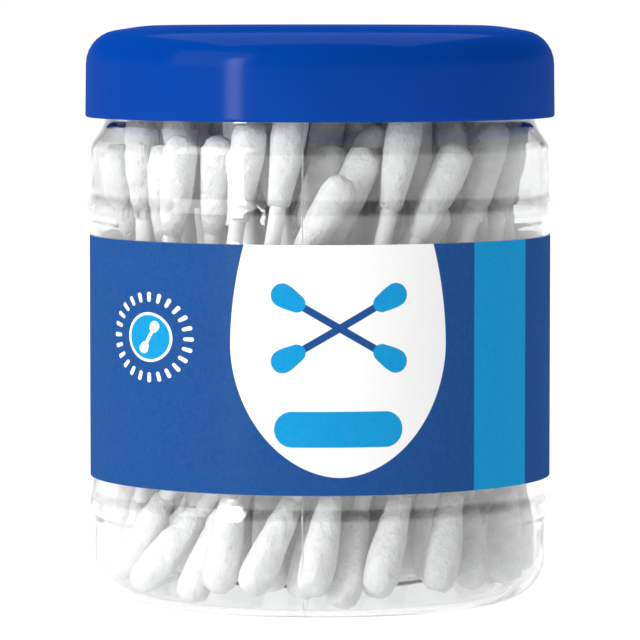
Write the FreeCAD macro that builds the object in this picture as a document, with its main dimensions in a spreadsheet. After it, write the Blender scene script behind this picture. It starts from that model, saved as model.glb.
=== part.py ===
"""Round clear tub of double-ended cotton swabs with a screw lid, in millimetres.

The tub stands on the XY plane with its axis on Z, and the front of its label faces -Y.
Pieces: the clear tub, the wrap-round label, the swabs (each a rolled paper stick with
a wound cotton tip at both ends), the lid, and the foam liner inside the lid.
"""

import FreeCAD, Part
import math
import os
import re
import Sketcher

# Driving sizes, one cell each: alias, value, meaning
SIZES = (
    ("tub_radius", 35.2, "outside of the label panel"),
    ("tub_wall", 1.0, "wall of the tub"),
    ("head_room", 10.85, "height of the tub beyond a swab's length"),
    ("neck_height", 14.95, "rim above the top of the tub's side"),
    ("neck_step", 2.2, "how far the neck stands in from the tub's side"),
    ("shoulder_rise", 3.6, "height of the sloping shoulder"),
    ("shoulder_round", 1.6, "rounding of the shoulder's edges"),
    ("rim_round", 0.3, "rounding of the rim's edges"),
    ("upper_ring_drop", 9.5, "top of the side down to the middle of the upper ring"),
    ("lower_ring_height", 14.6, "middle of the raised ring below the label"),
    ("ring_half_width", 2.6, "half the width of a raised ring"),
    ("ring_rise", 0.6, "how far a raised ring stands out"),
    ("waist_drop", 0.4, "how far the waist below the lower ring draws in"),
    ("heel_round", 6.5, "outside radius of the heel"),
    ("standing_width", 1.1, "width of the ring that the tub stands on"),
    ("base_slope_width", 6.2, "width of the slope round the push-up"),
    ("base_rise", 3.0, "push-up of the base"),
    ("base_round", 1.5, "rounding of the push-up's edges"),
    ("thread_room", 1.6, "space between the neck and the inside of the lid"),
    ("lid_wall", 1.4, "wall of the lid's skirt"),
    ("lid_top_wall", 2.6, "wall of the lid's top"),
    ("lid_draft", 0.15, "taper of the lid's skirt"),
    ("lid_clearance", 0.8, "space between the shoulder and the closed lid"),
    ("lid_crown_width", 9.5, "width of the fall round the lid's flat top"),
    ("lid_crown_drop", 1.45, "fall from the flat top to the lid's corner"),
    ("lid_crown_round", 25.0, "soft edge of the flat top"),
    ("lid_corner_round", 5.2, "outside radius of the lid's corner"),
    ("lid_inner_round", 1.5, "inside radius of the lid's corner"),
    ("lid_edge_round", 0.4, "rounding of the lid's lower edge"),
    ("liner_thickness", 0.75, "foam liner"),
    ("liner_gap", 0.05, "play above and below the liner"),
    ("liner_step", 0.1, "how far the liner stops short of the neck's outside"),
    ("label_foot", 1.7, "lower ring up to the label"),
    ("label_head", 1.45, "label up to the upper ring"),
    ("label_thickness", 0.15, "label film"),
    ("label_gap", 0.03, "glue under the label"),
    ("label_lap", 6.0, "width of the lapped seam at the back"),
    ("swab_length", 73.5, "overall length of a swab"),
    ("stick_radius", 1.2, "rolled paper stick"),
    ("stick_inset", 3.0, "cotton beyond the end of the stick"),
    ("tip_radius", 2.75, "cotton tip at its widest"),
    ("tip_length", 15.5, "length of the wound cotton"),
    ("tip_full_length", 7.0, "length before the cotton starts to taper"),
    ("tip_taper_bow", 0.2, "how far the taper bows out"),
    ("tip_root_radius", 1.9, "cotton where it ends on the stick"),
    ("tip_play", 0.02, "play between cotton and stick"),
    ("swab_gap", 0.12, "least space between swabs, and between swab and tub"),
    ("near_gap", 3.0, "swabs that pass closer than this are watched"),
    ("profile_step", 0.5, "step between the points of the hollow's profile"),
    ("least_push", 0.000001, "shortest push that has a direction"),
    ("edge_match", 0.0001, "how well an edge lies at the corner it rounds"),
    ("swab_fill", 0.519, "share of the floor that the round ends cover"),
    ("row_count", 6, "rows of swabs from the middle to the wall"),
    ("twist_mean_degrees", 54.0, "turn of the bundle from feet to heads"),
    ("twist_spread_degrees", 36.0, "how much that turn varies from swab to swab"),
    ("lean_limit_degrees", 43.0, "steepest lean of a swab"),
    ("head_fan_share", 0.2, "share of the way to the wall that the heads fan out"),
    ("stray_every", 5, "one swab in so many leans the other way"),
    ("stray_first", 2, "the first swab that does"),
    ("stray_share", 0.5, "share of the turn that it keeps"),
)

GOLDEN = (math.sqrt(5) - 1) / 2
VARIATION = math.sqrt(3)
SLIVER = 1e-9
UP = FreeCAD.Vector(0, 0, 1)

document = FreeCAD.newDocument("cotton_swab_tub")
sheet = document.addObject("Spreadsheet::Sheet", "sizes")
for line, (alias, value, meaning) in enumerate(SIZES, start=1):
    sheet.set(f"A{line}", meaning)
    sheet.set(f"B{line}", str(value))
    sheet.setAlias(f"B{line}", alias)
document.recompute()


def cells(text):
    """An expression with its sizes written as cells of the sheet."""
    return re.sub(r"[a-z]+(_[a-z]+)+", r"sizes.\g<0>", text)


def worth(text):
    """What an expression is worth now."""
    result = sheet.evalExpression(cells(text))
    return float(getattr(result, "Value", result))


# Bodies, sketches and features

def new_body(name):
    body = document.addObject("PartDesign::Body", name)
    body.Label = name
    return body


def new_sketch(body, name, plane):
    sketch = body.newObject("Sketcher::SketchObject", name)
    side = next(part for part in body.Origin.OriginFeatures if part.Role == plane)
    sketch.AttachmentSupport = [(side, "")]
    sketch.MapMode = "FlatFace"
    return sketch


def dimension(sketch, kind, places, text):
    """A dimension whose value follows an expression."""
    number = sketch.addConstraint(Sketcher.Constraint(kind, *places, worth(text)))
    sketch.setExpression(f"Constraints[{number}]", cells(text))


def hold_corner(sketch, curve, end, corner):
    """Hold one end of a curve at (distance from the axis, height)."""
    origin = (-1, 1)
    for kind, axis, text in (("DistanceX", -2, corner[0]), ("DistanceY", -1, corner[1])):
        if text == "0":
            sketch.addConstraint(Sketcher.Constraint("PointOnObject", curve, end, axis))
        else:
            dimension(sketch, kind, (*origin, curve, end), text)


def bow_radius(here, there):
    """Radius of the arc from one corner to the next that bows by here[2]."""
    across = f"({there[0]} - ({here[0]}))"
    along = f"({there[1]} - ({here[1]}))"
    return f"({across}^2 + {along}^2) / (8 * abs({here[2]})) + abs({here[2]}) / 2"


def draw_outline(sketch, corners):
    """Closed outline through corners (out, up), each an expression.

    A third value bows the next side by that much, to the left of its way if positive.
    """
    spots = [FreeCAD.Vector(worth(corner[0]), worth(corner[1]), 0) for corner in corners]
    ends = []
    for curve, (corner, here) in enumerate(zip(corners, spots)):
        there = spots[(curve + 1) % len(spots)]
        if len(corner) == 2:
            sketch.addGeometry(Part.LineSegment(here, there))
        else:
            way = (there - here).normalize()
            left = FreeCAD.Vector(-way.y, way.x, 0)
            sketch.addGeometry(Part.Arc(here, (here + there) / 2 + left * worth(corner[2]), there))
        runs_on = sketch.getPoint(curve, 1).isEqual(here, worth("edge_match"))
        ends.append((1, 2) if runs_on else (2, 1))
    for curve, corner in enumerate(corners):
        before = (curve - 1) % len(corners)
        sketch.addConstraint(
            Sketcher.Constraint("Coincident", before, ends[before][1], curve, ends[curve][0])
        )
        hold_corner(sketch, curve, ends[curve][0], corner)
        if len(corner) == 3:
            after = corners[(curve + 1) % len(corners)]
            dimension(sketch, "Radius", (curve,), bow_radius(corner, after))


def turned(body, name, corners, plane="XZ_Plane", angle=None):
    """Revolve an outline about the axis, all the way round or by an angle about its middle."""
    sketch = new_sketch(body, f"{name}_outline", plane)
    draw_outline(sketch, corners)
    solid = body.newObject("PartDesign::Revolution", name)
    solid.Profile = sketch
    solid.ReferenceAxis = (sketch, ["V_Axis"])
    solid.Angle = 360
    if angle:
        solid.Midplane = True
        solid.setExpression("Angle", cells(angle))
    document.recompute()
    return solid


def ring_edge(shape, out, up):
    """Name of the round edge at a corner of the outline."""
    near = worth("edge_match")
    for number, edge in enumerate(shape.Edges, start=1):
        if edge.Degenerated or not isinstance(edge.Curve, Part.Circle):
            continue
        curve = edge.Curve
        if abs(curve.Radius - worth(out)) < near and abs(curve.Center.z - worth(up)) < near:
            return f"Edge{number}"
    raise ValueError(f"no round edge at {out}, {up}")


def rounded(body, base, name, radius, *corners):
    """Round the edges at some corners of the outline."""
    fillet = body.newObject("PartDesign::Fillet", name)
    fillet.Base = (base, [ring_edge(base.Shape, *corner) for corner in corners])
    fillet.Radius = worth(radius)
    fillet.setExpression("Radius", cells(radius))
    document.recompute()
    return fillet


# Tub: the outside from the base up to the rim, then the inside down to the floor

RIM = "swab_length + head_room"
SHOULDER = f"{RIM} - neck_height"
NECK_FOOT = f"{SHOULDER} + shoulder_rise"
LOWER_RING = ("lower_ring_height - ring_half_width", "lower_ring_height + ring_half_width")
UPPER_RING = (
    f"{SHOULDER} - upper_ring_drop - ring_half_width",
    f"{SHOULDER} - upper_ring_drop + ring_half_width",
)
FLOOR = "base_rise + tub_wall"
TUB_INSIDE = "tub_radius - tub_wall"
WAIST = "tub_radius - waist_drop"
WAIST_INSIDE = "tub_radius - waist_drop - tub_wall"
NECK = "tub_radius - neck_step"
NECK_INSIDE = "tub_radius - neck_step - tub_wall"
STANDING_RING = f"{WAIST} - heel_round - standing_width"
BASE_PANEL = f"{STANDING_RING} - base_slope_width"


def make_tub():
    tub = new_body("tub")
    blank = turned(tub, "tub_wall_of_revolution", (
        ("0", "base_rise"),
        (BASE_PANEL, "base_rise"),
        (STANDING_RING, "0"),
        (WAIST, "0"),
        (WAIST, LOWER_RING[0], "-ring_rise"),
        ("tub_radius", LOWER_RING[1]),
        ("tub_radius", UPPER_RING[0], "-ring_rise"),
        ("tub_radius", UPPER_RING[1]),
        ("tub_radius", SHOULDER),
        (NECK, NECK_FOOT),
        (NECK, RIM),
        (NECK_INSIDE, RIM),
        (NECK_INSIDE, NECK_FOOT),
        (TUB_INSIDE, SHOULDER),
        (TUB_INSIDE, UPPER_RING[1], "ring_rise"),
        (TUB_INSIDE, UPPER_RING[0]),
        (TUB_INSIDE, LOWER_RING[1], "ring_rise"),
        (WAIST_INSIDE, LOWER_RING[0]),
        (WAIST_INSIDE, "tub_wall"),
        (STANDING_RING, "tub_wall"),
        (BASE_PANEL, FLOOR),
        ("0", FLOOR),
    ))
    heel = rounded(tub, blank, "heel", "heel_round", (WAIST, "0"))
    inner_heel = rounded(
        tub, heel, "inner_heel", "heel_round - tub_wall", (WAIST_INSIDE, "tub_wall")
    )
    base = rounded(
        tub, inner_heel, "base_edges", "base_round",
        (BASE_PANEL, "base_rise"), (BASE_PANEL, FLOOR),
    )
    shoulder = rounded(
        tub, base, "shoulder_edges", "shoulder_round",
        ("tub_radius", SHOULDER), (NECK, NECK_FOOT),
        (TUB_INSIDE, SHOULDER), (NECK_INSIDE, NECK_FOOT),
    )
    rounded(
        tub, shoulder, "rim_edges", "rim_round",
        (NECK, RIM), (NECK_INSIDE, RIM),
    )
    return tub


# Label: one turn of film, with its end lapped over its start at the back

LABEL_INSIDE = "tub_radius + label_gap"
LABEL_OUTSIDE = "tub_radius + label_gap + label_thickness"
LAP_OUTSIDE = "tub_radius + label_gap + 2 * label_thickness"
LABEL_BOTTOM = f"{LOWER_RING[1]} + label_foot"
LABEL_TOP = f"{UPPER_RING[0]} - label_head"


def make_label():
    label = new_body("label")
    turned(label, "label_film", (
        (LABEL_INSIDE, LABEL_BOTTOM),
        (LABEL_OUTSIDE, LABEL_BOTTOM),
        (LABEL_OUTSIDE, LABEL_TOP),
        (LABEL_INSIDE, LABEL_TOP),
    ))
    turned(label, "label_seam", (
        (LABEL_OUTSIDE, LABEL_BOTTOM),
        (LAP_OUTSIDE, LABEL_BOTTOM),
        (LAP_OUTSIDE, LABEL_TOP),
        (LABEL_OUTSIDE, LABEL_TOP),
    ), plane="YZ_Plane", angle="label_lap / tub_radius * 180 / pi")
    return label


# Lid, and the liner that it presses on the rim

LID_UNDERSIDE = f"{RIM} + liner_thickness + 2 * liner_gap"
LID_TOP = f"{LID_UNDERSIDE} + lid_top_wall"
LID_BOTTOM = f"{NECK_FOOT} + lid_clearance"
LID_INSIDE = f"{NECK} + thread_room"
LID_OUTSIDE = f"{LID_INSIDE} + lid_wall"
LID_CORNER = (f"{LID_OUTSIDE} - lid_draft", f"{LID_TOP} - lid_crown_drop")
LID_INNER_CORNER = (f"{LID_INSIDE} - lid_draft", LID_UNDERSIDE)
LID_FLAT = f"{LID_OUTSIDE} - lid_crown_width"


def make_lid():
    lid = new_body("lid")
    blank = turned(lid, "lid_shell", (
        ("0", LID_UNDERSIDE),
        LID_INNER_CORNER,
        (LID_INSIDE, LID_BOTTOM),
        (LID_OUTSIDE, LID_BOTTOM),
        LID_CORNER,
        (LID_FLAT, LID_TOP),
        ("0", LID_TOP),
    ))
    corner = rounded(lid, blank, "lid_corner", "lid_corner_round", LID_CORNER)
    crown = rounded(lid, corner, "lid_crown", "lid_crown_round", (LID_FLAT, LID_TOP))
    inside = rounded(lid, crown, "lid_inner_corner", "lid_inner_round", LID_INNER_CORNER)
    rounded(
        lid, inside, "lid_edges", "lid_edge_round",
        (LID_INSIDE, LID_BOTTOM), (LID_OUTSIDE, LID_BOTTOM),
    )
    return lid


def make_liner():
    liner = document.addObject("Part::Cylinder", "lid_liner")
    liner.Label = "lid_liner"
    liner.setExpression("Radius", cells(f"{NECK} - liner_step"))
    liner.setExpression("Height", cells("liner_thickness"))
    liner.setExpression("Placement.Base.z", cells(f"{RIM} + liner_gap"))
    return liner


# One stick and one cotton tip, which every swab repeats

TIP_BORE = "stick_radius + tip_play"
TIP_BORE_END = "stick_inset - tip_play"
TIP_CAP_BOW = "-tip_radius * (1 - sqrt(2) / 2)"


def make_stick():
    stick = document.addObject("Part::Cylinder", "stick")
    stick.Label = "stick_pattern"
    stick.setExpression("Radius", cells("stick_radius"))
    stick.setExpression("Height", cells("swab_length - 2 * stick_inset"))
    return stick


def make_tip():
    """Cotton tip with its round end at the origin and its bore open upwards."""
    tip = new_body("tip_pattern")
    turned(tip, "wound_cotton", (
        ("0", "0", TIP_CAP_BOW),
        ("tip_radius", "tip_radius"),
        ("tip_radius", "tip_full_length", "-tip_taper_bow"),
        ("tip_root_radius", "tip_length"),
        (TIP_BORE, "tip_length"),
        (TIP_BORE, TIP_BORE_END),
        ("0", TIP_BORE_END),
    ))
    return tip


# How the swabs stand

PAIR_SWEEPS = 8
MOST_SWEEPS = 400
PUSH_MARGIN = 1.6


class Hollow:
    """The inside of the tub, as it holds the round end of a swab."""

    def __init__(self, tub):
        wires = tub.Shape.slice(FreeCAD.Vector(0, 1, 0), 0)
        step = worth("profile_step")
        points = [p for w in wires for e in w.Edges for p in e.discretize(Distance=step)]
        base_top = max(worth("heel_round"), worth(FLOOR))
        self.reach = worth("tip_radius + swab_gap")
        self.floor = [p for p in points if p.x >= 0 and p.z <= base_top]
        self.side = [p for p in points if p.x > 0 and p.z >= base_top]
        self.foot_limit = worth(WAIST_INSIDE) - self.reach
        self.swabs = int(worth(f"swab_fill * ({WAIST_INSIDE})^2 / (tip_radius + swab_gap / 2)^2"))

    def floor_height(self, out):
        """Lowest centre of a round end this far from the axis."""
        near = [p for p in self.floor if abs(p.x - out) < self.reach]
        return max(p.z + math.sqrt(self.reach**2 - (p.x - out) ** 2) for p in near)

    def head_limit(self, height):
        """How far from the axis a round end can be at this height."""
        near = [p for p in self.side if abs(p.z - height) < self.reach]
        return min(p.x - math.sqrt(self.reach**2 - (p.z - height) ** 2) for p in near)


def closest(foot, way, other_foot, other_way, span, other_span):
    """Nearest places on two axes, as shares of each, and the vector from the second to the first."""
    between = foot - other_foot
    a, e, b = way.dot(way), other_way.dot(other_way), way.dot(other_way)
    c, f = way.dot(between), other_way.dot(between)
    spread = a * e - b * b
    s = (b * f - c * e) / spread if spread > SLIVER * a * e else (span[0] + span[1]) / 2
    s = min(max(s, span[0]), span[1])
    t = min(max((b * s + f) / e, other_span[0]), other_span[1])
    s = min(max((b * t - c) / a, span[0]), span[1])
    return s, t, between + way * s - other_way * t


class Bundle:
    """The swabs as axes from the centre of the lower round end to that of the upper one."""

    def __init__(self, hollow):
        self.hollow = hollow
        self.length = worth("swab_length - 2 * tip_radius")
        self.lean = self.length * math.sin(math.radians(worth("lean_limit_degrees")))
        cotton = worth("tip_length - tip_radius") / self.length
        stick, tip = worth("stick_radius"), worth("tip_radius")
        lower, upper, whole = (0.0, cotton), (1.0 - cotton, 1.0), (0.0, 1.0)
        self.widest = 2 * tip
        self.meetings = (
            (whole, whole, 2 * stick), (lower, lower, 2 * tip), (upper, upper, 2 * tip),
            (lower, whole, tip + stick), (whole, lower, tip + stick),
            (upper, whole, tip + stick), (whole, upper, tip + stick),
        )
        self.gap = worth("swab_gap")
        count = hollow.swabs
        self.feet, self.heads = [], []
        for number in range(count):
            out = hollow.foot_limit * math.sqrt((number + 0.5) / count)
            self.place(number, out)
        for number in range(count):
            self.stand(number)

    def place(self, number, out):
        """First guess: a twisted bundle, with a few swabs leaning the other way."""
        bearing = 2 * math.pi * GOLDEN * number
        vary = 2 * (number * VARIATION % 1) - 1
        twist = math.radians(worth("twist_mean_degrees") + worth("twist_spread_degrees") * vary)
        if number % worth("stray_every") == worth("stray_first"):
            twist *= -worth("stray_share")
        self.feet.append(FreeCAD.Vector(out * math.cos(bearing), out * math.sin(bearing), 0))
        head_out = out + worth("head_fan_share") * (self.hollow.foot_limit - out)
        head_bearing = bearing + twist
        self.heads.append(
            FreeCAD.Vector(head_out * math.cos(head_bearing), head_out * math.sin(head_bearing), 0)
        )

    def stand(self, number):
        """Keep a swab inside the tub, on the floor and at its length."""
        foot, head = self.feet[number], self.heads[number]
        foot.z = head.z = 0
        if foot.Length > self.hollow.foot_limit:
            foot.multiply(self.hollow.foot_limit / foot.Length)
        across = head - foot
        if across.Length > self.lean:
            across.multiply(self.lean / across.Length)
            head = foot + across
        floor = self.hollow.floor_height(foot.Length)
        rise = math.sqrt(self.length**2 - across.Length**2)
        limit = self.hollow.head_limit(floor + rise)
        if head.Length > limit:
            head.multiply(limit / head.Length)
            rise = math.sqrt(self.length**2 - (head - foot).Length ** 2)
        foot.z = floor
        head.z = floor + rise
        self.feet[number], self.heads[number] = foot, head

    def near_pairs(self):
        """Pairs of swabs whose axes pass close to each other."""
        whole = (0.0, 1.0)
        limit = self.widest + worth("near_gap")
        ways = [head - foot for foot, head in zip(self.feet, self.heads)]
        pairs = []
        for i in range(len(ways)):
            for j in range(i):
                gap = closest(self.feet[i], ways[i], self.feet[j], ways[j], whole, whole)[2]
                if gap.Length < limit:
                    pairs.append((i, j))
        return pairs

    def part_pair(self, i, j):
        """Push two swabs apart where they are too close. Returns the worst lack of space."""
        worst = 0.0
        room = self.gap * PUSH_MARGIN
        for span, other_span, reach in self.meetings:
            way, other_way = self.heads[i] - self.feet[i], self.heads[j] - self.feet[j]
            s, t, apart = closest(
                self.feet[i], way, self.feet[j], other_way, span, other_span
            )
            distance = apart.Length
            if distance >= self.widest + room and span == other_span == (0.0, 1.0):
                break
            if distance >= reach + room:
                continue
            worst = max(worst, reach + self.gap - distance)
            push = FreeCAD.Vector(apart.x, apart.y, 0)
            if push.Length < worth("least_push"):
                push = FreeCAD.Vector(1, 0, 0)
            push.normalize()
            push.multiply((reach + room - distance) / 2)
            self.shift(i, s, push)
            self.shift(j, t, push * -1)
        return worst

    def shift(self, number, share, push):
        """Move the place at this share of a swab's axis, and the ends in proportion."""
        weight = (1 - share) ** 2 + share**2
        self.feet[number] += push * ((1 - share) / weight)
        self.heads[number] += push * (share / weight)

    def settle(self):
        """Part the swabs until they all have their space."""
        for sweep in range(MOST_SWEEPS):
            if sweep % PAIR_SWEEPS == 0:
                pairs = self.near_pairs()
            worst = max([self.part_pair(i, j) for i, j in pairs], default=0.0)
            for number in range(len(self.feet)):
                self.stand(number)
            if worst <= 0.0 and sweep % PAIR_SWEEPS == 0:
                break
        print(f"{len(self.feet)} swabs settled after {sweep + 1} sweeps, {worst:.3f} mm short of space")


# Rows of swabs, from the middle of the tub to its wall

def copies(pattern, places):
    """Copies of a pattern piece, one for each (origin, direction) of its axis."""
    made = []
    for origin, way in places:
        copy = pattern.Shape.copy()
        copy.Placement = FreeCAD.Placement(origin, FreeCAD.Rotation(UP, way))
        made.append(copy)
    return Part.makeCompound(made)


def add_group(name, shape):
    group = document.addObject("Part::Feature", name)
    group.Label = name
    group.Shape = shape
    group.Placement = FreeCAD.Placement()
    return group


def make_rows(bundle, stick, tip):
    count, rows = len(bundle.feet), int(worth("row_count"))
    round_end, inset = worth("tip_radius"), worth("stick_inset")
    groups = []
    for row in range(rows):
        sticks, lower, upper = [], [], []
        for number in range(count):
            if int(rows * math.sqrt((number + 0.5) / count)) != row:
                continue
            foot, head = bundle.feet[number], bundle.heads[number]
            way = (head - foot).normalize()
            low_end, high_end = foot - way * round_end, head + way * round_end
            sticks.append((low_end + way * inset, way))
            lower.append((low_end, way))
            upper.append((high_end, way * -1))
        name = f"row_{row + 1}"
        groups.append(add_group(f"{name}_sticks", copies(stick, sticks)))
        groups.append(add_group(f"{name}_lower_tips", copies(tip, lower)))
        groups.append(add_group(f"{name}_upper_tips", copies(tip, upper)))
    return groups


# Build, check and write

def check_document():
    for thing in document.Objects:
        if "Invalid" in thing.State or "Error" in thing.State:
            raise RuntimeError(f"{thing.Name} is in state {thing.State}")


def write_parts(pieces):
    os.makedirs("parts", exist_ok=True)
    for piece in pieces:
        shape = piece.Shape
        if shape.isNull() or not shape.isValid():
            raise RuntimeError(f"{piece.Label} has no valid shape")
        shape.exportStep(f"parts/{piece.Label}.step")
        print(f"{piece.Label}: {len(shape.Solids)} solids, {shape.Volume:.1f} cubic mm")


tub_body = make_tub()
pieces = [tub_body, make_label(), make_lid(), make_liner()]
stick_pattern, tip_pattern = make_stick(), make_tip()
document.recompute()
bundle = Bundle(Hollow(tub_body))
bundle.settle()
pieces += make_rows(bundle, stick_pattern, tip_pattern)
document.recompute()
check_document()
write_parts(pieces)
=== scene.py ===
# %% [markdown]
# # A tub of cotton swabs
# The object is a clear round tub with a blue screw lid. Cotton swabs stand in it, and a printed
# film is wrapped round it. The frame below holds each piece at its real size and place. This
# file gives every piece its look, and models again the ones whose shape needs more than the
# frame holds: the tub, the lid, their screw threads and the wound cotton.

# %% Load the frame
import math

import bpy
import numpy as np
from mathutils import Matrix, Vector


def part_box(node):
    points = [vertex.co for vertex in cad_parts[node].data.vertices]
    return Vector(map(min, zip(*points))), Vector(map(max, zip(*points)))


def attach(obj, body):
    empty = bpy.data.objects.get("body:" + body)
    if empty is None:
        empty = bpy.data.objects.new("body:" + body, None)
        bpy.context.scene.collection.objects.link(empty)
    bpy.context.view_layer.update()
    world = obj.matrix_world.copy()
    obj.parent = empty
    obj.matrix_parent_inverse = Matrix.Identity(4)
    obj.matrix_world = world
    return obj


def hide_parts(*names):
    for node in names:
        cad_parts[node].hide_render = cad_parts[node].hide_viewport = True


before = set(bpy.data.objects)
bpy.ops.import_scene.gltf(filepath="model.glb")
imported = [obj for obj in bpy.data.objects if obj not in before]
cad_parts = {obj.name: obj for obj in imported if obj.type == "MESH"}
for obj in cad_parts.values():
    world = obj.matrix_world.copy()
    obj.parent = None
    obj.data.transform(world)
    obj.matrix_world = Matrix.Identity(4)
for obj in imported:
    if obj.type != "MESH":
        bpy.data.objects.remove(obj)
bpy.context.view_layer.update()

MM = 0.001

# %% [markdown]
# ## Camera
# The picture was taken from the front with a long lens, a little above the lid, so the rings
# and the label bend only slightly. A long lens far away gives that. The aim is about half way
# up the object, and the tilt follows from the two points. The camera sees as far as the floor
# reaches.

# %% Place the camera
CAMERA_SPOT = Vector((0, -0.740, 0.0920))
CAMERA_AIM = Vector((0, 0, 0.0425))
CAMERA_LENS = 271
NEAREST_SEEN = 0.05
FLOOR_SIDE = 2000

bpy.ops.object.camera_add(location=CAMERA_SPOT)
camera = bpy.context.object
camera.name = "camera"
camera.data.lens = CAMERA_LENS
camera.data.clip_start = NEAREST_SEEN
camera.data.clip_end = FLOOR_SIDE
camera.rotation_euler = (CAMERA_AIM - CAMERA_SPOT).to_track_quat("-Z", "Y").to_euler()
bpy.context.scene.camera = camera
print("camera", round((CAMERA_AIM - CAMERA_SPOT).length / MM), "mm from its aim")

# %% [markdown]
# ## Studio light
# Three soft lights make the look: a strip to the left that draws the upright highlight on the
# lid and the tub, a wide box overhead and behind that draws the streak along the lid's shoulder,
# and a large box to the left that models the cotton from one side. The power of an area light
# is its area times its brightness times pi.

# %% Add the lights
def soft_light(name, spot, aim, size, brightness):
    """Rectangular light of a size (across, up) in metres that shines from spot to aim."""
    bpy.ops.object.light_add(type="AREA", location=spot)
    light = bpy.context.object
    light.name = name
    light.data.shape = "RECTANGLE"
    light.data.size, light.data.size_y = size
    light.data.energy = math.pi * size[0] * size[1] * brightness
    light.rotation_euler = (Vector(aim) - Vector(spot)).to_track_quat("-Z", "Y").to_euler()
    return light


def around(bearing, distance, height):
    """Place at a bearing from the front, in degrees to the right, seen from above."""
    turn = math.radians(bearing)
    return Vector((distance * math.sin(turn), -distance * math.cos(turn), height))


MIDDLE = (0, 0, 0.045)
soft_light("strip_light", around(-41, 0.50, 0.15), around(0, 0, 0.07), (0.065, 0.30), 14.0)
soft_light("top_light", (0, 0.50, 0.85), (0, 0.50, 0.05), (0.9, 1.3), 3.0)
soft_light("key_light", around(-58, 0.95, 0.52), MIDDLE, (0.75, 0.7), 2.2)

bpy.context.scene.view_settings.view_transform = "Standard"

# %% [markdown]
# ## Node recipes
# A material is a sum of many small nodes. The two classes below let it be written as ordinary
# sums: a Wire is the output of a node, and an operator on wires adds the Math node, or the
# Vector Math node where a colour or a vector takes part. Every other node comes from add().

# %% Classes for shader sums
NOISE_ROUGHNESS = 0.55


class Wire:
    """A node's output, ready for sums."""

    def __init__(self, recipe, socket):
        self.recipe = recipe
        self.socket = socket

    def is_wide(self):
        return self.socket.type in ("RGBA", "VECTOR")

    def sum(self, operation, first, second):
        wide = any(isinstance(x, tuple) or (isinstance(x, Wire) and x.is_wide())
                   for x in (first, second))
        kind = "ShaderNodeVectorMath" if wide else "ShaderNodeMath"
        return self.recipe.add(kind, {"operation": operation}, {0: first, 1: second})

    def __add__(self, other):
        return self.sum("ADD", self, other)

    def __radd__(self, other):
        return self.sum("ADD", other, self)

    def __sub__(self, other):
        return self.sum("SUBTRACT", self, other)

    def __rsub__(self, other):
        return self.sum("SUBTRACT", other, self)

    def __mul__(self, other):
        return self.sum("MULTIPLY", self, other)

    def __rmul__(self, other):
        return self.sum("MULTIPLY", other, self)

    def __truediv__(self, other):
        return self.sum("DIVIDE", self, other)

    def __pow__(self, other):
        return self.sum("POWER", self, other)


class Recipe:
    """The nodes of one material, or of the surround when its tree is given."""

    def __init__(self, name, tree=None):
        if tree is None:
            self.material = bpy.data.materials.new(name)
            self.material.use_nodes = True
            tree = self.material.node_tree
        self.tree = tree
        self.tree.nodes.clear()

    def add(self, kind, settings=None, sockets=None, output=0):
        """A node of a kind, with its settings and then its sockets' values or wires."""
        node = self.tree.nodes.new(kind)
        for setting, value in (settings or {}).items():
            setattr(node, setting, value)
        for key, value in (sockets or {}).items():
            socket = node.inputs[key]
            if isinstance(value, Wire):
                self.tree.links.new(value.socket, socket)
            elif socket.type == "RGBA":
                socket.default_value = (*value, 1)
            elif socket.type == "VECTOR" and not isinstance(value, tuple):
                socket.default_value = (value, value, value)
            else:
                socket.default_value = value
        return Wire(self, node.outputs[output]) if node.outputs else None

    def math(self, operation, first, second=0.0):
        """Any other sum on single values, by its name."""
        return self.add("ShaderNodeMath", {"operation": operation}, {0: first, 1: second})

    def place(self):
        """Object coordinates as three wires: across, deep and up, in metres."""
        spot = self.add("ShaderNodeTexCoord", output="Object")
        return [self.add("ShaderNodeSeparateXYZ", None, {0: spot}, axis) for axis in range(3)]

    def noise(self, scale, detail=2.0, stretch=(1, 1, 1)):
        """Noise with so many spots to the metre, stretched where the share is small."""
        spot = self.add("ShaderNodeTexCoord", output="Object")
        pulled = self.add("ShaderNodeMapping", None, {"Vector": spot, "Scale": tuple(stretch)})
        return self.add("ShaderNodeTexNoise", None, {
            "Vector": pulled, "Scale": scale, "Detail": detail, "Roughness": NOISE_ROUGHNESS,
        })

    def ramp(self, value, low, high, start=0.0, end=1.0):
        """Value goes from low to high, and the answer from start to end, held at both."""
        return self.add(
            "ShaderNodeMapRange", {"interpolation_type": "SMOOTHSTEP"},
            {0: value, 1: low, 2: high, 3: start, 4: end},
        )

    def mix(self, share, first, second):
        """First colour where share is 0, second where it is 1."""
        return self.add("ShaderNodeMix", {"data_type": "RGBA"}, {0: share, 6: first, 7: second}, 2)

    def bump(self, height, depth, normal=None):
        """Normal of a surface whose height goes up by depth metres."""
        sockets = {"Height": height, "Strength": 1.0, "Distance": depth}
        if normal:
            sockets["Normal"] = normal
        return self.add("ShaderNodeBump", None, sockets)

    def surface(self, **sockets):
        """The usual shader, with the sockets that differ from its defaults."""
        return self.add("ShaderNodeBsdfPrincipled", None, sockets)

    def close(self, shader, **inside):
        """Send the shader to the material's output, with what fills the inside, if anything."""
        self.add("ShaderNodeOutputMaterial", None, {"Surface": shader, **inside})
        print(self.material.name, "has", len(self.tree.nodes), "nodes")
        return self.material


print("shader sums are ready")

# %% [markdown]
# ## Colours
# Colours picked from a picture are screen values from 0 to 255. A shader wants them as light,
# so each one goes through the screen's curve first.

# %% Turn picked colours into light
def picked(red, green, blue):
    """Screen colour, 0 to 255, as linear light."""
    def light(value):
        share = value / 255
        return share / 12.92 if share <= 0.04045 else ((share + 0.055) / 1.055) ** 2.4
    return (light(red), light(green), light(blue))


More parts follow.
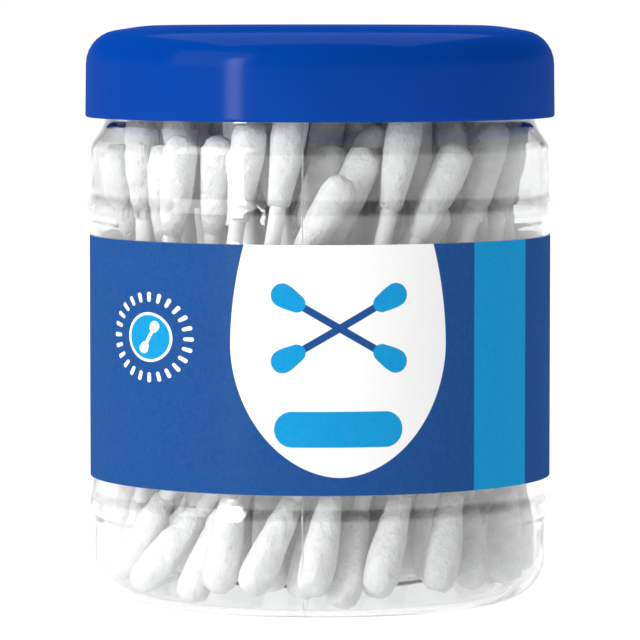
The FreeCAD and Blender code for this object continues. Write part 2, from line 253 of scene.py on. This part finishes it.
LABEL_BLUE = picked(25, 77, 143)
SKY_BLUE = picked(11, 150, 210)
FILM_WHITE = (0.94, 0.94, 0.935)
LID_BLUE = picked(0, 59, 151)
LID_BLUE_PALE = picked(0, 63, 156)
print("label blue as light:", [round(part, 3) for part in LABEL_BLUE])

# %% [markdown]
# ## Surround
# The surround is as white as the floor at the horizon and falls to grey above it, as a paper
# sweep does, so no hard line shows where the clear plastic mirrors it.

# %% Hang the surround
WHITE = (1.0, 1.0, 1.0)
HORIZON_LIGHT = 1.0
OVERHEAD_LIGHT = 0.20
SWEEP_TOP = math.sin(math.radians(16))

world = bpy.data.worlds.new("pale_surround")
bpy.context.scene.world = world
world.use_nodes = True
sweep = Recipe("surround", world.node_tree)
toward = sweep.add("ShaderNodeTexCoord", output="Generated")
height = sweep.add("ShaderNodeSeparateXYZ", None, {0: toward}, 2)
strength = sweep.ramp(height, 0, SWEEP_TOP, HORIZON_LIGHT, OVERHEAD_LIGHT)
glow = sweep.add("ShaderNodeBackground", None, {"Color": WHITE, "Strength": strength})
sweep.add("ShaderNodeOutputWorld", None, {"Surface": glow})
print("surround falls from", HORIZON_LIGHT, "to", OVERHEAD_LIGHT)

# %% [markdown]
# ## Floor
# The real picture stands on plain white with hardly a shadow. A large plane that glows a little
# stays white right up to the horizon, and still takes a soft shadow under the tub.

# %% Lay the floor
FLOOR_GREY = (0.25, 0.25, 0.25)
FLOOR_GLOW = 0.95

bpy.ops.mesh.primitive_plane_add(size=FLOOR_SIDE)
floor = bpy.context.object
floor.name = "floor"
paper = Recipe("white_floor")
floor.data.materials.append(paper.close(paper.surface(**{
    "Base Color": FLOOR_GREY, "Roughness": 1.0, "Specular IOR Level": 0.0,
    "Emission Color": WHITE, "Emission Strength": FLOOR_GLOW,
})))

# %% [markdown]
# ## Turned pieces
# The tub and the lid are round all over, so each is one outline spun about the axis. By hand
# that is a single vertex, extruded from corner to corner and then spun. The corners below are
# (distance from the axis, height) in millimetres. A third value rounds the corner with an arc,
# and a number between two corners swells the side between them by so much.

# %% Draw an outline and spin it
ARC_STEPS = 7
BOW_STEPS = 14
SPIN_STEPS = 180
MERGE_WITHIN = 0.002 * MM
SHARP_TURN = math.radians(32)


def arc(before, here, after, radius):
    """Points that round the corner at here."""
    into, onward = (here - before).normalized(), (after - here).normalized()
    start = math.atan2(into.y, into.x)
    turn = (math.atan2(onward.y, onward.x) - start + math.pi) % math.tau - math.pi
    stride = 2 * radius * math.sin(abs(turn) / ARC_STEPS / 2)
    points = [here - into * radius * math.tan(abs(turn) / 2)]
    for step in range(ARC_STEPS):
        heading = start + turn * (step + 0.5) / ARC_STEPS
        points.append(points[-1] + stride * Vector((math.cos(heading), math.sin(heading))))
    return points


def bow(here, there, rise):
    """Points between two corners of a side that swells by rise in the middle."""
    points = []
    for step in range(1, BOW_STEPS):
        share = step / BOW_STEPS
        points.append(here.lerp(there, share) + Vector((rise * math.sin(math.pi * share) ** 2, 0)))
    return points


def outline(*corners):
    """Points of an outline from its corners and bows."""
    spots = [Vector(corner[:2]) for corner in corners if isinstance(corner, tuple)]
    points, place, rise = [], 0, 0
    for corner in corners:
        if not isinstance(corner, tuple):
            rise = corner
            continue
        here = spots[place]
        if rise:
            points += bow(points[-1], here, rise)
            rise = 0
        if len(corner) == 3:
            points += arc(spots[place - 1], here, spots[place + 1], corner[2])
        else:
            points.append(here)
        place += 1
    return points


def start_vertex(name, spot):
    """One vertex at a spot in millimetres, in edit mode."""
    bpy.ops.object.select_all(action="DESELECT")
    bpy.ops.mesh.primitive_plane_add(size=MM)
    piece = bpy.context.object
    piece.name = piece.data.name = name
    bpy.ops.object.mode_set(mode="EDIT")
    bpy.ops.mesh.merge(type="CENTER")
    bpy.ops.transform.translate(value=(spot.x * MM, 0, spot.y * MM))
    return piece


def extrude_along(points):
    """Extrude the chosen vertex through the points of an outline."""
    for here, there in zip(points, points[1:]):
        step = (there - here) * MM
        bpy.ops.mesh.extrude_region_move(TRANSFORM_OT_translate={"value": (step.x, 0, step.y)})


def finish_shell():
    """Merge doubles, point the faces outwards and shade the curves smooth."""
    bpy.ops.mesh.select_all(action="SELECT")
    bpy.ops.mesh.remove_doubles(threshold=MERGE_WITHIN)
    bpy.ops.mesh.normals_make_consistent(inside=False)
    bpy.ops.object.mode_set(mode="OBJECT")
    bpy.ops.object.shade_smooth_by_angle(angle=SHARP_TURN)


def turn(name, points, steps=SPIN_STEPS):
    """A closed shell from an outline that starts and ends on the axis."""
    piece = start_vertex(name, points[0])
    extrude_along(points)
    bpy.ops.mesh.select_all(action="SELECT")
    bpy.ops.mesh.spin(steps=steps, angle=math.tau, center=(0, 0, 0), axis=(0, 0, 1))
    finish_shell()
    print(name, "has", len(piece.data.polygons), "faces")
    return piece


# %% [markdown]
# ## The tub
# The tub is blown in one piece from clear plastic, with a wall about a millimetre thick. A
# raised ring above and below the label keeps the label from rubbing. The base is pushed up in
# the middle, so that the tub stands on a ring. The outside radius and the height come from the
# frame, and the sizes in between are written here, in millimetres.

# %% Turn the tub
TUB_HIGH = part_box("tub")[1]
WALL = 1.0
RING_RISE = 0.6
RING_HALF = 2.6
LOWER_RING = 14.6
UPPER_RING_DROP = 9.5
NECK_HEIGHT = 14.95
NECK_STEP = 2.2
SHOULDER_RISE = 3.6
SHOULDER_ROUND = 2.6
WAIST_STEP = 0.4
HEEL_ROUND = 6.5
STANDING_WIDTH = 1.1
BASE_SLOPE_WIDTH = 6.2
BASE_ROUND = 1.5
BASE_RISE = 3.0
RIM_ROUND = 0.3

SIDE = TUB_HIGH.x / MM - RING_RISE
RIM = TUB_HIGH.z / MM
SHOULDER = RIM - NECK_HEIGHT
UPPER_RING = SHOULDER - UPPER_RING_DROP
NECK = SIDE - NECK_STEP
NECK_FOOT = SHOULDER + SHOULDER_RISE
WAIST = SIDE - WAIST_STEP
STANDING = WAIST - HEEL_ROUND - STANDING_WIDTH
BASE_PANEL = STANDING - BASE_SLOPE_WIDTH


def make_tub():
    """The clear tub as one closed shell with an outside, a rim and an inside."""
    return turn("tub_shell", outline(
        (0, BASE_RISE),
        (BASE_PANEL, BASE_RISE, BASE_ROUND),
        (STANDING, 0),
        (WAIST, 0, HEEL_ROUND),
        (WAIST, LOWER_RING - RING_HALF), RING_RISE, (SIDE, LOWER_RING + RING_HALF),
        (SIDE, UPPER_RING - RING_HALF), RING_RISE, (SIDE, UPPER_RING + RING_HALF),
        (SIDE, SHOULDER, SHOULDER_ROUND),
        (NECK, NECK_FOOT, SHOULDER_ROUND),
        (NECK, RIM, RIM_ROUND),
        (NECK - WALL, RIM, RIM_ROUND),
        (NECK - WALL, NECK_FOOT, SHOULDER_ROUND),
        (SIDE - WALL, SHOULDER, SHOULDER_ROUND),
        (SIDE - WALL, UPPER_RING + RING_HALF), RING_RISE, (SIDE - WALL, UPPER_RING - RING_HALF),
        (SIDE - WALL, LOWER_RING + RING_HALF), RING_RISE, (WAIST - WALL, LOWER_RING - RING_HALF),
        (WAIST - WALL, WALL, HEEL_ROUND - WALL),
        (STANDING, WALL),
        (BASE_PANEL, BASE_RISE + WALL, BASE_ROUND),
        (0, BASE_RISE + WALL),
    ))


tub = make_tub()

# %% [markdown]
# ## The lid
# The lid is moulded in one piece: a thin skirt, a soft corner and a top that falls off a little
# towards its edge. The skirt's two lower edges are rounded so that light runs along them.

# %% Turn the lid
LID_LOW, LID_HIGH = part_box("lid")
LID_TOP = LID_HIGH.z / MM
LID_FOOT = LID_LOW.z / MM
LINER_ROOM = 0.85
THREAD_ROOM = 1.6
LID_WALL = 1.4
LID_DRAFT = 0.15
LID_INNER_ROUND = 1.5
LID_EDGE_ROUND = 0.4
LID_CORNER_ROUND = 5.2
CROWN_WIDTH = 9.5
CROWN_DROP = 1.45
CROWN_ROUND = 25.0

LID_UNDERSIDE = RIM + LINER_ROOM
LID_INSIDE = NECK + THREAD_ROOM
LID_OUTSIDE = LID_INSIDE + LID_WALL


def make_lid():
    """The lid as one closed shell, open at the bottom."""
    return turn("lid_shell", outline(
        (0, LID_UNDERSIDE),
        (LID_INSIDE - LID_DRAFT, LID_UNDERSIDE, LID_INNER_ROUND),
        (LID_INSIDE, LID_FOOT, LID_EDGE_ROUND),
        (LID_OUTSIDE, LID_FOOT, LID_EDGE_ROUND),
        (LID_OUTSIDE - LID_DRAFT, LID_TOP - CROWN_DROP, LID_CORNER_ROUND),
        (LID_OUTSIDE - CROWN_WIDTH, LID_TOP, CROWN_ROUND),
        (0, LID_TOP),
    ))


lid = make_lid()

# %% [markdown]
# ## Screw threads
# One ridge winds round the neck for a turn and a quarter, and another winds inside the lid half
# a pitch away from it. A ridge is a small outline swept up a helix, which is what the Screw
# modifier does. Its ends shrink into the wall, as they do on a moulded thread.

# %% Wind the threads
PITCH = 5.0
THREAD_TURNS = 1.25
THREAD_FOOT = NECK_FOOT + 2.6
THREAD_STEPS = 90
FADE_STEPS = 9
RIDGE_ROOT = 0.9
RIDGE_CREST = 0.4
RIDGE_SINK = 0.15
NECK_RIDGE = 1.0
LID_RIDGE = 1.1


def make_thread(name, root, crest, bearing):
    """Ridge from a root radius to a crest radius, in millimetres, that starts at a bearing."""
    corners = [Vector(spot) for spot in (
        (root, -RIDGE_ROOT), (crest, -RIDGE_CREST), (crest, RIDGE_CREST), (root, RIDGE_ROOT),
    )]
    lift = Vector((0, THREAD_FOOT))
    piece = start_vertex(name, corners[0] + lift)
    extrude_along([corner + lift for corner in corners])
    bpy.ops.mesh.select_all(action="SELECT")
    bpy.ops.mesh.edge_face_add()
    bpy.ops.mesh.delete(type="ONLY_FACE")
    bpy.ops.object.mode_set(mode="OBJECT")
    sweep = piece.modifiers.new("helix", "SCREW")
    sweep.angle = math.tau * THREAD_TURNS
    sweep.screw_offset = PITCH * THREAD_TURNS * MM
    sweep.steps = sweep.render_steps = THREAD_STEPS
    bpy.ops.object.modifier_apply(modifier="helix")
    piece.data.transform(Matrix.Rotation(math.radians(bearing), 4, "Z"))
    fade_ends(piece, root * MM, len(corners))
    bpy.ops.object.mode_set(mode="EDIT")
    bpy.ops.mesh.select_all(action="DESELECT")
    bpy.ops.mesh.select_non_manifold()
    bpy.ops.mesh.fill_holes(sides=0)
    finish_shell()
    return piece


def fade_ends(piece, root, corner_count):
    """Shrink the first and last steps of a ridge towards its root."""
    for number, vertex in enumerate(piece.data.vertices):
        step = number // corner_count
        share = min(1.0, (min(step, THREAD_STEPS - step) + 0.5) / FADE_STEPS)
        flat = Vector((vertex.co.x, vertex.co.y))
        reach = root + (flat.length - root) * math.sin(share * math.pi / 2)
        vertex.co.x, vertex.co.y = flat.normalized() * reach


neck_thread = make_thread("neck_thread", NECK - RIDGE_SINK, NECK + NECK_RIDGE, 0)
lid_thread = make_thread("lid_thread", LID_INSIDE + RIDGE_SINK, LID_INSIDE - LID_RIDGE, 180)
print("threads wind", THREAD_TURNS, "turns,", PITCH, "mm a turn")

# %% [markdown]
# ## Cotton tips
# Every swab has cotton wound on both ends of its stick. The frame holds the sticks, so each
# stick's own mesh says where it stands: its points spread furthest along its axis.

# %% Find both ends of every stick
STICK_INSET = 3.0
ROWS = 6


def stick_ends(node):
    """Lower and upper end of each stick in a node, in metres."""
    bpy.ops.object.select_all(action="DESELECT")
    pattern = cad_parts[node]
    copy = bpy.data.objects.new("loose_sticks", pattern.data.copy())
    bpy.context.collection.objects.link(copy)
    bpy.context.view_layer.objects.active = copy
    copy.select_set(True)
    bpy.ops.object.mode_set(mode="EDIT")
    bpy.ops.mesh.select_all(action="SELECT")
    bpy.ops.mesh.remove_doubles(threshold=MERGE_WITHIN)
    bpy.ops.mesh.separate(type="LOOSE")
    bpy.ops.object.mode_set(mode="OBJECT")
    ends = []
    for stick in list(bpy.context.selected_objects):
        points = np.array([vertex.co for vertex in stick.data.vertices])
        middle = points.mean(axis=0)
        way = np.linalg.svd(points - middle)[2][0]
        way = Vector(way if way[2] > 0 else -way)
        half = max((Vector(point) - Vector(middle)).dot(way) for point in points)
        ends.append((Vector(middle) - way * half, Vector(middle) + way * half))
        bpy.data.objects.remove(stick)
    return ends


rows_of_ends = [stick_ends(f"row_{row + 1}_sticks") for row in range(ROWS)]
print("sticks in each row:", [len(ends) for ends in rows_of_ends])

# %% [markdown]
# A few variants of a tip are turned and made lumpy, to be copied on to the stick ends. There are
# many ends, so a tip has only a few dozen faces, and the fine fibres are in the material.

# %% Turn a few cotton tips
TIP_SIDES = 12
TIP_VARIANTS = 5
TIP_LUMP = 0.14
TIP_OUTLINE = ((0, 0), (1.3, 0.3), (2.2, 1.1), (2.64, 2.6), (2.68, 5.2), (2.42, 8.8),
               (1.98, 12.6), (1.6, 15.2), (0, 15.6))


def make_tip(variant):
    """Cotton tip with its round end at the origin, pointing up."""
    tip = turn(f"cotton_tip_{variant}", [Vector(spot) for spot in TIP_OUTLINE], TIP_SIDES)
    bpy.ops.object.mode_set(mode="EDIT")
    bpy.ops.mesh.select_all(action="SELECT")
    bpy.ops.mesh.mark_sharp(clear=True)
    bpy.ops.transform.vertex_random(offset=TIP_LUMP * MM, normal=1.0, seed=variant + 1)
    bpy.ops.object.mode_set(mode="OBJECT")
    bpy.ops.object.shade_smooth()
    return tip


tips = [make_tip(variant) for variant in range(TIP_VARIANTS)]

# %% [markdown]
# Each stick end takes the next variant, turned about the stick by a golden turn more than the
# last, so that no two neighbours look alike. The lower tips of a row are joined into one piece,
# and its upper tips into another.

# %% Put a tip on every stick end
GOLDEN_TURN = math.pi * (3 - math.sqrt(5))


def place_tip(number, end, way):
    """Copy of a tip on a stick's end, turned about the stick by its number."""
    data = tips[number % TIP_VARIANTS].data.copy()
    upright = Vector((0, 0, 1)).rotation_difference(way).to_matrix().to_4x4()
    data.transform(
        Matrix.Translation(end - way * STICK_INSET * MM) @ upright
        @ Matrix.Rotation(number * GOLDEN_TURN, 4, "Z")
    )
    tip = bpy.data.objects.new("tip", data)
    bpy.context.collection.objects.link(tip)
    return tip


def join(name, pieces):
    """One object from several."""
    bpy.ops.object.select_all(action="DESELECT")
    for piece in pieces:
        piece.select_set(True)
    bpy.context.view_layer.objects.active = pieces[0]
    bpy.ops.object.join()
    pieces[0].name = pieces[0].data.name = name
    return pieces[0]


cotton_rows = {}
for row, ends in enumerate(rows_of_ends):
    lower, upper = [], []
    for number, (foot, head) in enumerate(ends):
        way = (head - foot).normalized()
        lower.append(place_tip(2 * number + row, foot, way))
        upper.append(place_tip(2 * number + row + 1, head, -way))
    for level, pieces in (("lower", lower), ("upper", upper)):
        node = f"row_{row + 1}_{level}_tips"
        cotton_rows[node] = join(f"row_{row + 1}_{level}_cotton", pieces)
for tip in tips:
    bpy.data.objects.remove(tip)
tip_faces = sum(len(piece.data.polygons) for piece in cotton_rows.values())
print(len(cotton_rows), "groups of tips,", tip_faces, "faces")

# %% [markdown]
# ## Clear plastic
# The tub's plastic is clear and nearly colourless. Light bends a little as it passes, and a
# faint waviness of the blown wall makes the edges wobble. Two fine lines show where the halves
# of the mould met. The plastic takes up a little light on the way, so the wall goes grey where
# it is seen edge on. Glass would cast a black shadow here, so shadow rays pass straight through,
# which is also how thin clear plastic behaves.

# %% Mix the clear plastic
PARTING_BEARING = math.radians(-4.2)
PARTING_HALF = 0.12
PARTING_RISE = 0.03
WAVE_SPOTS = 70
WAVE_DEPTH = 0.25
WALL_TINT = (0.98, 0.985, 0.985)
SHADOW_TINT = (0.97, 0.975, 0.975)
WALL_GREY = (0.22, 0.23, 0.23)
GREY_DENSITY = 45.0


def mix_clear_plastic():
    """Clear plastic with two fine mould lines, a slight waviness and a grey inside."""
    recipe = Recipe("clear_plastic")
    x, y, _ = recipe.place()
    bearing = recipe.math("ARCTAN2", x, 0 - y)
    across = recipe.math("ABSOLUTE", recipe.math("SINE", bearing - PARTING_BEARING)) * SIDE
    seam = recipe.ramp(across, 0.0, PARTING_HALF, 1.0, 0.0)
    waves = recipe.noise(WAVE_SPOTS, 1.5, (1, 1, 2.2))
    wavy = recipe.bump(waves, WAVE_DEPTH * MM)
    skin = recipe.surface(**{
        "Base Color": WALL_TINT, "Roughness": 0.015, "IOR": 1.57,
        "Transmission Weight": 1.0, "Coat Weight": 0.6, "Coat Roughness": 0.03,
        "Coat IOR": 1.6, "Normal": recipe.bump(seam, PARTING_RISE * MM, wavy),
    })
    clear = recipe.add("ShaderNodeBsdfTransparent", None, {"Color": SHADOW_TINT})
    shadow = recipe.add("ShaderNodeLightPath", output="Is Shadow Ray")
    both_ways = recipe.add("ShaderNodeMixShader", None, {0: shadow, 1: skin, 2: clear})
    haze = recipe.add("ShaderNodeVolumeAbsorption", None, {
        "Color": WALL_GREY, "Density": GREY_DENSITY,
    })
    return recipe.close(both_ways, Volume=haze)


clear_plastic = mix_clear_plastic()

# %% [markdown]
# ## Lid plastic
# The lid is glossy blue plastic, coloured all through. Its gloss is low in strength, so that the
# blue stays deep. A very slight unevenness keeps the highlights from looking ruled.

# %% Mix the lid plastic
CLOUD_SPOTS = 30
CLOUD_DEPTH = 0.12
GRAIN_SPOTS = 2500
GRAIN_DEPTH = 0.002
NOISE_SPREAD = (0.3, 0.7)


def mix_lid_plastic():
    """Blue plastic with a clouded colour and roughness under a weak, sharp gloss."""
    recipe = Recipe("lid_plastic")
    cloud = recipe.noise(CLOUD_SPOTS, 3.0)
    grain = recipe.bump(recipe.noise(GRAIN_SPOTS), GRAIN_DEPTH * MM)
    share = recipe.ramp(cloud, *NOISE_SPREAD)
    return recipe.close(recipe.surface(**{
        "Base Color": recipe.mix(share, LID_BLUE, LID_BLUE_PALE),
        "Roughness": recipe.ramp(cloud, *NOISE_SPREAD, 0.4, 0.5), "Specular IOR Level": 0.0,
        "Coat Weight": 0.045, "Coat Roughness": 0.14, "Coat IOR": 2.0,
        "Normal": recipe.bump(cloud, CLOUD_DEPTH * MM, grain),
    }))


lid_plastic = mix_lid_plastic()

# %% [markdown]
# ## Printed film
# The label is white film, printed in flat colours: a deep blue field, a white panel shaped like
# a wide drop, a sky blue stripe and a sky blue pill. The panel carries two crossed swabs, and
# the badge to the left of it a small one in a ring of seeds. Every shape is a sum on two numbers:
# how far round the tub a point is, measured along the film from the front, and how high it is,
# both in millimetres. A mask is 1 inside a shape and 0 outside.

# %% Tools for drawing in ink
INK_EDGE = 0.05
SWAB_WAIST = 0.4


def either(recipe, *masks):
    """Where at least one mask is."""
    joined = masks[0]
    for mask in masks[1:]:
        joined = recipe.math("MAXIMUM", joined, mask)
    return joined


def below(recipe, value, limit):
    """Mask of where a length in millimetres is under a limit, with an inked edge."""
    return recipe.ramp(value, limit - INK_EDGE, limit + INK_EDGE, 1.0, 0.0)


def span(recipe, first, second):
    """Distance from two distances at right angles."""
    return recipe.math("SQRT", first * first + second * second)


def print_swab(recipe, across, up, middle, tilt, length, stick_half, tip_half, tip_length):
    """Masks of the stick and of both tips of a drawn swab."""
    side, rise = across - middle[0], up - middle[1]
    along = recipe.math("ABSOLUTE", side * math.cos(tilt) + rise * math.sin(tilt))
    off = recipe.math("ABSOLUTE", rise * math.cos(tilt) - side * math.sin(tilt))
    stick = below(recipe, off, stick_half) * below(recipe, along, length / 2 - tip_half)
    past = recipe.math("ABSOLUTE", along - (length - tip_length) / 2) - (tip_length / 2 - tip_half)
    waist = recipe.ramp(
        along, length / 2 - tip_half, length / 2 - tip_length, 0.0, tip_half * SWAB_WAIST)
    tip = below(recipe, span(recipe, off, recipe.math("MAXIMUM", past, 0.0)) + waist, tip_half)
    return stick, tip


print("an inked edge fades over", 2 * INK_EDGE, "mm")

# %% [markdown]
# The panel is a rounded figure, taller above its widest line than below it. The pill is a line
# with a thick round pen. The badge is a blue disc with a white hoop, a leaning swab in the
# middle, and seed shapes round it that all point outwards.

# %% Masks of the print
PANEL_MIDDLE = 3.0
PANEL_HALF = 16.55
PANEL_WIDEST = 41.0
PANEL_DROP = 19.4
PANEL_RISE = 32.6
PANEL_POWER = 1.87
PANEL_EDGE = 0.005
STRIPE = (24.9, 37.5)
PILL_MIDDLE = (2.8, 28.7)
PILL_HALF = (9.6, 2.65)
BADGE_MIDDLE = (-28.4, 41.6)
BADGE_STRETCH = 1.3
BADGE_RING = 6.0
BADGE_SEEDS = 24
SEED_REACH = 0.45
SEED_HALF = 0.3
BADGE_DISC = 3.5
HOOP_HALF = 0.2
BADGE_TILT = math.pi / 2 - 0.5
BADGE_SWAB = (5.4, 0.26, 0.75, 2.1)
MARK_MIDDLE = (2.9, 43.6)
MARK_TILT = math.radians(30)
MARK_SWAB = (23.0, 0.55, 1.75, 6.2)


def panel_mask(recipe, across, up):
    """Wide drop."""
    wide = recipe.math("ABSOLUTE", across - PANEL_MIDDLE) / PANEL_HALF
    rise = up - PANEL_WIDEST
    tall = recipe.math("MAXIMUM", rise / PANEL_RISE, rise / -PANEL_DROP)
    reach = wide ** PANEL_POWER + tall ** PANEL_POWER
    return recipe.ramp(reach, 1 - PANEL_EDGE, 1 + PANEL_EDGE, 1.0, 0.0)


def stripe_mask(recipe, across):
    """Upright stripe."""
    centre = sum(STRIPE) / 2
    return below(recipe, recipe.math("ABSOLUTE", across - centre), STRIPE[1] - centre)


def pill_mask(recipe, across, up):
    """Bar with round ends."""
    flat = recipe.math("ABSOLUTE", across - PILL_MIDDLE[0]) - (PILL_HALF[0] - PILL_HALF[1])
    round_end = span(recipe, recipe.math("MAXIMUM", flat, 0.0), up - PILL_MIDDLE[1])
    return below(recipe, round_end, PILL_HALF[1])


def seed_mask(recipe, side, climb, reach):
    """Ring of seed shapes about the badge's middle."""
    turns = recipe.math("ARCTAN2", side, climb) * (BADGE_SEEDS / math.tau)
    share = recipe.math("FRACT", turns + 0.5)
    beside = (share - 0.5) * (math.tau * BADGE_RING / BADGE_SEEDS)
    past = recipe.math("ABSOLUTE", reach - BADGE_RING) - SEED_REACH
    return below(recipe, span(recipe, beside, recipe.math("MAXIMUM", past, 0.0)), SEED_HALF)


def badge_masks(recipe, across, up):
    """The badge's blue disc, and all that is white on it and round it."""
    side = (across - BADGE_MIDDLE[0]) / BADGE_STRETCH
    climb = up - BADGE_MIDDLE[1]
    reach = span(recipe, side, climb)
    seeds = seed_mask(recipe, side, climb, reach)
    disc = below(recipe, reach, BADGE_DISC)
    hoop = below(recipe, recipe.math("ABSOLUTE", reach - BADGE_DISC), HOOP_HALF)
    swab = print_swab(recipe, side, climb, (0, 0), BADGE_TILT, *BADGE_SWAB)
    return disc, either(recipe, seeds, hoop, *swab)


def mark_masks(recipe, across, up):
    """Sticks and tips of the two crossed swabs."""
    sticks, ends = zip(*(
        print_swab(recipe, across, up, MARK_MIDDLE, tilt, *MARK_SWAB)
        for tilt in (MARK_TILT, -MARK_TILT)))
    return either(recipe, *sticks), either(recipe, *ends)


print("the badge has", BADGE_SEEDS, "seeds")

# %% [markdown]
# The inks lie one over the other in the order in which they are mixed. Only the outside of the
# film is printed: its inside and its cut edges stay white.

# %% Print the film
LABEL_LOW, LABEL_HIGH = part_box("label")
FILM_RADIUS = LABEL_HIGH.x / MM
FILM_FOOT = LABEL_LOW.z / MM
FILM_HEAD = LABEL_HIGH.z / MM
FILM_SKIN = 0.1
MOTTLE_SPOTS = 1400
MOTTLE_SPREAD = (0.2, 0.8)
MOTTLE_WHITE = 0.012
CREASE_SPOTS = 45
CREASE_DEPTH = 0.1


def print_film():
    """Label film: blue and white ink outside, bare white film inside and on the cut edges."""
    recipe = Recipe("label_film")
    x, y, z = recipe.place()
    across = recipe.math("ARCTAN2", x, 0 - y) * FILM_RADIUS
    up = z / MM
    out = span(recipe, x, y) / MM
    disc, white_marks = badge_masks(recipe, across, up)
    sticks, ends = mark_masks(recipe, across, up)
    sky = either(recipe, stripe_mask(recipe, across), pill_mask(recipe, across, up), disc)

    colour = recipe.mix(panel_mask(recipe, across, up), LABEL_BLUE, FILM_WHITE)
    colour = recipe.mix(sky, colour, SKY_BLUE)
    colour = recipe.mix(white_marks, colour, FILM_WHITE)
    colour = recipe.mix(sticks, colour, LABEL_BLUE)
    colour = recipe.mix(ends, colour, SKY_BLUE)
    bare = either(
        recipe, below(recipe, out, FILM_RADIUS - FILM_SKIN), below(recipe, up, FILM_FOOT),
        1 - below(recipe, up, FILM_HEAD))
    colour = recipe.mix(bare, colour, FILM_WHITE)
    mottle = recipe.noise(MOTTLE_SPOTS, 3.0)
    pale = recipe.ramp(mottle, *MOTTLE_SPREAD, 0.0, MOTTLE_WHITE)
    return recipe.close(recipe.surface(**{
        "Base Color": recipe.mix(pale, colour, FILM_WHITE),
        "Roughness": recipe.ramp(mottle, *MOTTLE_SPREAD, 0.3, 0.38),
        "Specular IOR Level": 0.0, "Coat Weight": 0.03, "Coat Roughness": 0.25, "Coat IOR": 2.0,
        "Normal": recipe.bump(recipe.noise(CREASE_SPOTS), CREASE_DEPTH * MM),
    }))


label_film = print_film()

# %% [markdown]
# ## Cotton, paper and foam
# Wound cotton is white and quite rough, with fibres that run round the tip and soft lumps
# between them. The sticks are tightly rolled white paper, with a fine grain. The liner is
# foamed sheet, full of tiny cells.

# %% Mix cotton, paper and foam
COTTON_WHITES = ((0.80, 0.80, 0.795), (0.88, 0.88, 0.875))
PAPER_WHITES = ((0.84, 0.84, 0.83), (0.91, 0.91, 0.90))
FOAM_WHITES = ((0.80, 0.80, 0.79), (0.9, 0.9, 0.89))
TUFT_SPOTS = 420
TUFT_DEPTH = 0.9
FIBRE_SPOTS = 1900
FIBRE_DEPTH = 0.16
PAPER_SPOTS = 900
PAPER_DEPTH = 0.04
FOAM_CELLS = 1800
FOAM_DEPTH = 0.05


def mix_cotton():
    """Rough white cotton with soft tufts and fine fibres."""
    recipe = Recipe("cotton")
    tufts = recipe.noise(TUFT_SPOTS, 3.0)
    fibres = recipe.noise(FIBRE_SPOTS, 4.0, (1, 1, 0.6))
    fuzz = recipe.bump(tufts, TUFT_DEPTH * MM, recipe.bump(fibres, FIBRE_DEPTH * MM))
    return recipe.close(recipe.surface(**{
        "Base Color": recipe.mix(recipe.ramp(tufts, *NOISE_SPREAD), *COTTON_WHITES),
        "Roughness": 0.95, "Specular IOR Level": 0.2, "Sheen Weight": 0.25, "Normal": fuzz,
    }))


def mix_paper():
    """Smooth white paper with its grain along the stick."""
    recipe = Recipe("stick_paper")
    grain = recipe.noise(PAPER_SPOTS, 3.0, (1, 1, 0.15))
    return recipe.close(recipe.surface(**{
        "Base Color": recipe.mix(recipe.ramp(grain, *NOISE_SPREAD), *PAPER_WHITES),
        "Roughness": 0.6, "Normal": recipe.bump(grain, PAPER_DEPTH * MM),
    }))


def mix_foam():
    """White foam with small cells."""
    recipe = Recipe("liner_foam")
    spot = recipe.add("ShaderNodeTexCoord", output="Object")
    cells = recipe.add("ShaderNodeTexVoronoi", None, {"Vector": spot, "Scale": FOAM_CELLS})
    return recipe.close(recipe.surface(**{
        "Base Color": recipe.mix(recipe.ramp(cells, 0.0, 0.5), *FOAM_WHITES),
        "Roughness": 0.8, "Normal": recipe.bump(cells, FOAM_DEPTH * MM),
    }))


cotton = mix_cotton()
stick_paper = mix_paper()
liner_foam = mix_foam()

# %% [markdown]
# ## Putting it together
# A new piece takes its material, moves with the body that it belongs to, and hides the node that
# it stands for. The label, the sticks and the liner keep their own shapes and only change their
# material.

# %% Dress the nodes and seat the pieces
def dress(piece, material):
    """Give a piece one material all over."""
    piece.data.materials.clear()
    piece.data.materials.append(material)


def seat(piece, body, slot, material, *nodes):
    """A new piece that moves with a body and stands for nodes."""
    dress(piece, material)
    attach(piece, body)
    if nodes:
        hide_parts(*nodes)


seat(tub, "tub", "clear_plastic", clear_plastic, "tub")
seat(neck_thread, "tub", "clear_plastic", clear_plastic)
seat(lid, "lid", "lid_plastic", lid_plastic, "lid")
seat(lid_thread, "lid", "lid_plastic", lid_plastic)
for node, piece in cotton_rows.items():
    seat(piece, "tub", "cotton", cotton, node)

dress(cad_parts["label"], label_film)
dress(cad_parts["lid_liner"], liner_foam)
for row in range(ROWS):
    dress(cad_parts[f"row_{row + 1}_sticks"], stick_paper)
